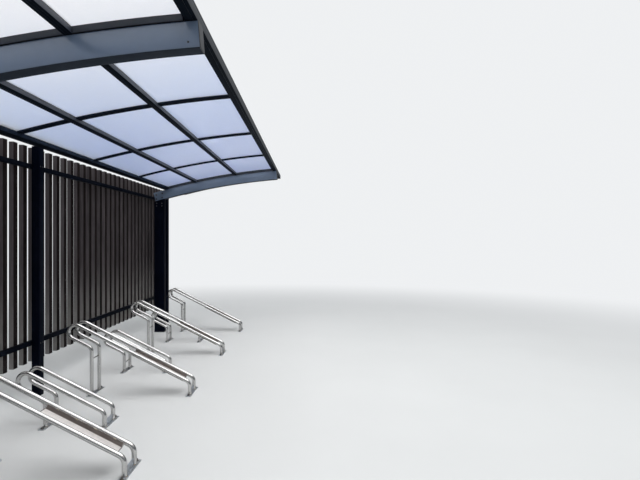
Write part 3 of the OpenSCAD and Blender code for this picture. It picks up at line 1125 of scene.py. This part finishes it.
@dataclass
class MainPosts:
    """The two main posts, cut to the beams' curve at the top."""

    label = "main posts"

    roof: Roof
    half_depth: float = 0.075
    half_width: float = 0.045
    groove: float = 0.0012
    shaft: float = 1.5
    bolt_x: tuple[float, float] = (-0.04, 0.04)
    bolt_z: tuple[float, float] = (1.93, 1.97)
    bolt: Fixing = Fixing(0.007, 0.0048, 0.0105, finish=Finish.DARK_SCREW)

    def build(self) -> None:
        """Makes both posts. Their top ring of points is moved on to the beam's underside."""
        a, b, g = self.half_depth, self.half_width, self.groove
        outline = rounded([
            (-a, -b), (a, -b), (a, -0.006), (a - g, -0.0048), (a - g, 0.0048), (a, 0.006),
            (a, b), (-a, b), (-a, 0.006), (g - a, 0.0048), (g - a, -0.0048), (-a, -0.006)], 0.005)
        curve, top = self.roof.curve, slice(-len(outline), None)
        under = curve.beam - self.roof.beam_depth - SEAT
        for name, y in zip(("near", "far"), self.roof.beam_y):
            shape = Shape(f"main_post_{name}_section")
            foot = Y * y
            shape.sweep(outline, eased(foot, foot + Z * self.shaft, X, Y, 0.0008, 0.06)[:3],
                        Finish.POST)
            shape.points[top] = [curve.point(p.x, under, p.y) for p in shape.points[top]]
            for side in SIDES:
                for z in self.bolt_z:
                    for x in self.bolt_x:
                        self.bolt.drive(shape, Vector((x, y + side * b, z)), Y * side)
            shape.build("post", f"main_post_{name}")


@dataclass
class Screen:
    """Upright slats on two rails, carried by slender posts."""

    label = "screen"

    post_x: float = -0.162
    post_half: float = 0.036
    post_y: tuple[float, float, float] = (-0.84, 2.028, 5.88)
    top: float = 2.261
    bottom: float = 0.294
    rail_x: tuple[float, float] = (-0.234, -0.198)
    rail_half: float = 0.021
    rail_inset: float = 0.183
    rail_y: tuple[float, float] = (-0.95, 5.99)
    slat_x: tuple[float, float] = (-0.276, -0.234)
    slat_half: float = 0.029
    pitch: float = 0.1405
    middle_y: float = 2.52
    each_side: int = 24
    post_screw: Fixing = Fixing(0.006, 0.0035, finish=Finish.DARK_SCREW)
    post_screw_gap: float = 0.018
    slat_screw: Fixing = Fixing(0.0052, 0.0026)
    slat_screw_gap: float = 0.014

    @property
    def rail_z(self) -> tuple[float, float]:
        """Heights of the upper and the lower rail."""
        return self.top - self.rail_inset, self.bottom + self.rail_inset

    def posts(self) -> None:
        """The three slender posts with push-in caps."""
        h = self.post_half
        outline, cap = (rectangle(-h, h, -h, h, radius) for radius in (0.004, 0.005))
        for name, y in zip(("near", "middle", "far"), self.post_y):
            shape = Shape(f"screen_post_{name}_section")
            foot = Vector((self.post_x, y, 0))
            shape.sweep(outline, eased(foot, foot + Z * (self.top - 0.005), X, Y, 0.0008, h),
                        Finish.POST)
            shape.sweep(cap, [Station(foot + Z * (self.top - drop), X, Y, s) for drop, s in (
                (0.0048, 0.97), (0.0044, 0.99), (0.0012, 0.99), (0.0, 0.94))], Finish.DARK_CAP)
            for z in self.rail_z:
                for side in SIDES:
                    at = foot + Vector((h, side * self.post_screw_gap, z))
                    self.post_screw.drive(shape, at, X)
            shape.build("post", f"screen_post_{name}")

    def rails(self) -> None:
        """The two rails with end caps."""
        (y0, y1), half = self.rail_y, self.rail_half
        for name, z in zip(("upper", "lower"), self.rail_z):
            shape = Shape(f"screen_rail_{name}_section")
            outline = rectangle(*self.rail_x, z - half, z + half, 0.0025)
            shape.capped(outline, Y * y0, Y * y1, (X, Z), Finish.FRAME, 0.93)
            shape.build("frame", f"screen_rail_{name}")

    def slats(self) -> None:
        """The slats, each with a cap at both ends and four screws sunk flush in its back."""
        shape = Shape("screen_slats_grained")
        back = self.slat_x[0] + self.slat_screw.rise
        outline = rectangle(*self.slat_x, -self.slat_half, self.slat_half, 0.003)
        for i in range(-self.each_side, self.each_side + 1):
            at = Y * (self.middle_y + i * self.pitch)
            shape.capped(outline, at + Z * self.bottom, at + Z * self.top, (X, Y), Finish.SLAT,
                         0.95)
            for z in self.rail_z:
                for side in SIDES:
                    spot = at + Vector((back, side * self.slat_screw_gap, z))
                    self.slat_screw.drive(shape, spot, -X)
        shape.build("slat", "screen_slats")

    def build(self) -> None:
        """Makes the whole screen."""
        self.posts()
        self.rails()
        self.slats()


# Racks


class RackKind(Enum):
    """The two kinds of rack, by the place of their front legs."""

    HIGH = 1.222
    LOW = 0.774


@dataclass
class Rack:
    """One rack: two parallel tubes bent from single lengths, on two anchored foot bars."""

    kind: RackKind
    number: int
    y: float
    tube: float = 0.016
    pair: float = 0.156
    slope: float = math.radians(27)
    loop: float = 0.063
    shoulder: float = 0.06
    back_x: float = 0.104
    rear_x: float = 0.328
    front_z: float = 0.114
    foot_thick: float = 0.006
    foot_half: float = 0.023
    anchors: float = 0.246
    foot_edge: float = 0.02
    toe_height: float = 0.048
    toe_thick: float = 0.005
    rod: float = 0.005
    rod_drop: float = 0.066
    anchor: Fixing = Fixing(0.0095, 0.008, 0.0125, True, Finish.ANCHOR)

    @property
    def label(self) -> str:
        """The rack's name in the frame."""
        return f"rack_{self.kind.name.lower()}_{self.number}"

    @property
    def up(self) -> Vector:
        """Direction up the slope, as (x, z)."""
        return Vector((-math.cos(self.slope), math.sin(self.slope)))

    @property
    def over(self) -> Vector:
        """Direction square to the slope, upward, as (x, z)."""
        return Vector((math.sin(self.slope), math.cos(self.slope)))

    def path(self) -> list[Vector]:
        """Finds the tubes' middle line.

        Returns:
            Its points from the front foot to the rear foot, as (x, z).
        """
        front_x, foot = self.kind.value, self.foot_thick - 0.0005
        turn = math.pi / 2 - self.slope
        tangent = self.shoulder * math.tan(turn / 2)
        top_x = self.back_x + self.loop + self.tube + self.loop * math.sin(self.slope)
        upper = Vector((top_x, self.front_z + (front_x - top_x) * math.tan(self.slope)))
        centre = upper - self.over * self.loop
        lower = centre - self.over * self.loop
        rear_z = lower.y - (self.rear_x - lower.x) * math.tan(self.slope)
        front, rear = (bend(Vector((x - self.shoulder, z - tangent)), self.shoulder, 0.0, turn, 12)
                       for x, z in ((front_x, self.front_z), (self.rear_x, rear_z)))
        return [Vector((front_x, foot)), *front, *bend(centre, self.loop, turn, math.pi, 28),
                *reversed(rear), Vector((self.rear_x, foot))]

    def tubes(self) -> None:
        """The two bent tubes with the rod between the rear legs and the welds."""
        shape = Shape(f"{self.label}_tubes")
        line = self.path()
        for side in SIDES:
            y = self.y + side * self.pair / 2
            shape.sweep(circle(self.tube, 28), [
                Station(Vector((p.x, y, p.y)), Vector((-way.y, 0, way.x)), Y)
                for p, way in zip(line, headings(line))], Finish.TUBE)
        half = self.pair / 2 - self.tube + 0.003
        rod_at = Vector((self.rear_x, self.y, line[-2].y - self.rod_drop))
        shape.sweep(circle(self.rod, 14), along(-half, half, rod_at, Z, X), Finish.TUBE)
        for side in SIDES:
            shape.weld(rod_at + Y * side * (half - 0.0035), Y, self.rod + 0.0004, 0.0022)
            for x in (self.kind.value, self.rear_x):
                foot = Vector((x, self.y + side * self.pair / 2, self.foot_thick + 0.0006))
                shape.weld(foot, Z, self.tube + 0.0006, 0.0026)
        shape.build("rack_tube", self.label)

    def feet(self) -> None:
        """Foot bars with their anchors, and the toe plate between the front legs."""
        shape = Shape(f"{self.label}_feet")
        front, top, y = self.kind.value, self.foot_thick, self.y
        reach = self.anchors / 2 + self.foot_edge
        for x in (front, self.rear_x):
            bar = rectangle(x - self.foot_half, x + self.foot_half, y - reach, y + reach, 0.008)
            shape.sweep(bar, eased(Vector(), Z * top, X, Y, 0.0008, 0.05), Finish.PLATE)
            for side in SIDES:
                self.anchor.drive(shape, Vector((x, y + side * self.anchors / 2, top)), Z)
        half, toe = self.pair / 2 - self.tube + 0.002, self.toe_thick / 2
        plate = rectangle(y - half, y + half, top - 0.001, top + self.toe_height - 0.001, 0.003)
        shape.sweep(plate, eased(X * (front - toe), X * (front + toe), Y, Z, 0.0007, 0.05),
                    Finish.PLATE)
        shape.build("rack_tube")

    def build(self) -> None:
        """Makes the rack, with its trough where it has one."""
        self.tubes()
        self.feet()
        if self.kind is RackKind.HIGH:
            Trough(self).build()


@dataclass
class Trough:
    """Folded sheet between the two tubes of a high rack, which guides the wheel."""

    rack: Rack
    start: float = 0.062
    length: float = 0.54
    depth: float = 0.03
    thick: float = 0.0025
    flat: float = 0.112
    edge: float = 0.003
    welds: tuple[float, ...] = (0.12, 0.37, 0.62, 0.87)

    def build(self) -> None:
        """Makes the trough with its welds and the rolled edge at both ends."""
        r = self.rack
        half = r.pair / 2 - r.tube - SEAT
        foot = Vector((r.kind.value, r.front_z)) + r.up * self.start
        up, over = (Vector((way.x, 0, way.y)) for way in (r.up, r.over))
        at = Vector((foot.x, r.y, foot.y))
        f, d, t = self.flat / 2, self.depth, self.thick
        outline = rounded([(-half, 0), (-f, -d), (f, -d), (half, 0), (half, t), (half - 0.001, t),
                           (f - 0.0015, t - d), (0.0015 - f, t - d), (0.001 - half, t),
                           (-half, t)], 0.004, 4)
        shape = Shape(f"wheel_trough_{r.number}_sheet")
        shape.sweep(outline, eased(at, at + up * self.length, Y, over, 0.0007, 0.06),
                    Finish.TROUGH)
        for share in self.welds:
            for side in SIDES:
                spot = at + up * self.length * share + Y * side * (half - 0.004) - over * 0.001
                shape.turned(spot, up, [(0.001, -0.012), (0.0026, -0.01), (0.0028, 0.01),
                                        (0.001, 0.012)], Finish.WELD, 8)
        folds = [(0.004 - half, 0.001), (-f, 0.001 - d), (f, 0.001 - d), (half - 0.004, 0.001)]
        for reach in (0.002, self.length - 0.002):
            line = [at + up * reach + Y * u + over * v for u, v in folds]
            shape.sweep(circle(self.edge, 10), [Station(spot, up, way.cross(up))
                                                for spot, way in zip(line, headings(line))],
                        Finish.TUBE)
        shape.build("trough", f"wheel_trough_{r.number}")


@dataclass
class RackRow:
    """The row of racks, high and low in turn."""

    first: float = 0.59
    pitch: float = 0.76
    count: int = 7

    def racks(self) -> list[Rack]:
        """The racks in order."""
        return [Rack(RackKind.LOW if i % 2 else RackKind.HIGH, i // 2 + 1,
                     self.first + i * self.pitch) for i in range(self.count)]


# Studio


@dataclass
class Studio:
    """Plain pale floor, soft light and the photograph's camera."""

    SURROUND = (0.86, 0.875, 0.89)
    SKY = (0.93, 0.965, 1.0)
    label = "studio"

    sky_strength: float = 0.62
    lamp_size: tuple[float, float] = (7.0, 9.0)
    lamp_energy: float = 520.0
    lamp_at: tuple[float, float, float] = (3.5, 1.5, 7.5)
    lamp_tilt: float = math.radians(22)
    camera_at: tuple[float, float, float] = (2.34, -2.348, 1.416)
    focal: float = 27.0
    shift: tuple[float, float] = (0.0122, -0.0008)
    floor_half: float = 60.0

    def floor(self) -> None:
        """The floor, which is no part of the shelter."""
        s = self.floor_half
        mesh = bpy.data.meshes.new("floor")
        mesh.from_pydata([(-s, -s, 0), (s, -s, 0), (s, s, 0), (-s, s, 0)], [], [(0, 1, 2, 3)])
        mesh.materials.append(Finish.FLOOR.material)
        placed("floor", mesh)

    def camera(self) -> None:
        """The level camera that looks along the shelter."""
        data = bpy.data.cameras.new("camera")
        data.sensor_width = 36.0
        data.lens = self.focal
        data.shift_x, data.shift_y = self.shift
        data.clip_start, data.clip_end = 0.05, 300.0
        camera = placed("camera", data)
        camera.location = self.camera_at
        camera.rotation_euler = (math.radians(90), 0, 0)
        bpy.context.scene.camera = camera

    def sky(self) -> None:
        """Soft sky light, with plainer colours for what is seen, mirrored or shines through."""
        world = bpy.data.worlds.new("sky")
        g = Graph(world)
        way = g.add("ShaderNodeTexCoord", output="Generated")
        height = g.axis(way, "Z")
        above = g.ramp(height + abs(g.axis(way, "X")) * 0.26, (0.1, (0.015, 0.035, 0.38)),
                       (0.2, (0.1, 0.18, 0.68)), (0.34, (0.27, 0.475, 0.82)), (0.44, (1, 1, 1)))
        around = g.ramp(height, (0.0, (0.1, 0.104, 0.115)), (0.4, (0.24, 0.25, 0.27)),
                        (0.7, (1, 1, 1)))
        through, mirrored = g.ray("Transmission"), g.ray("Glossy")
        plain = g.mix(through, g.mix(mirrored, self.SURROUND, around), above)
        shown = g.math("MAXIMUM", g.math("MAXIMUM", through, g.ray("Camera")), mirrored)
        g.close(g.add("ShaderNodeMixShader", {}, {
            0: shown,
            1: g.add("ShaderNodeBackground", {}, {0: self.SKY, 1: self.sky_strength}),
            2: g.add("ShaderNodeBackground", {}, {0: plain, 1: 1.0})}))
        bpy.context.scene.world = world
        bpy.context.scene.view_settings.view_transform = "Standard"

    def lamp(self) -> None:
        """One large lamp above the roof."""
        light = bpy.data.lights.new("softbox", "AREA")
        light.shape = "RECTANGLE"
        light.size, light.size_y = self.lamp_size
        light.energy = self.lamp_energy
        holder = placed("softbox", light)
        holder.location = self.lamp_at
        holder.rotation_euler = (0, self.lamp_tilt, 0)

    def build(self) -> None:
        """Makes the whole studio."""
        self.floor()
        self.camera()
        self.sky()
        self.lamp()


# Main


def main() -> None:
    """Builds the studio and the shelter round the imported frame, part by part."""
    logging.basicConfig(level=logging.INFO, format="%(name)s: %(message)s")
    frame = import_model()
    roof = Roof(frame["nodes"])
    for part in (Studio(), roof, MainPosts(roof), Screen(), *RackRow().racks()):
        part.build()
        log.info("built %s", part.label)


if __name__ == "__main__":
    main()
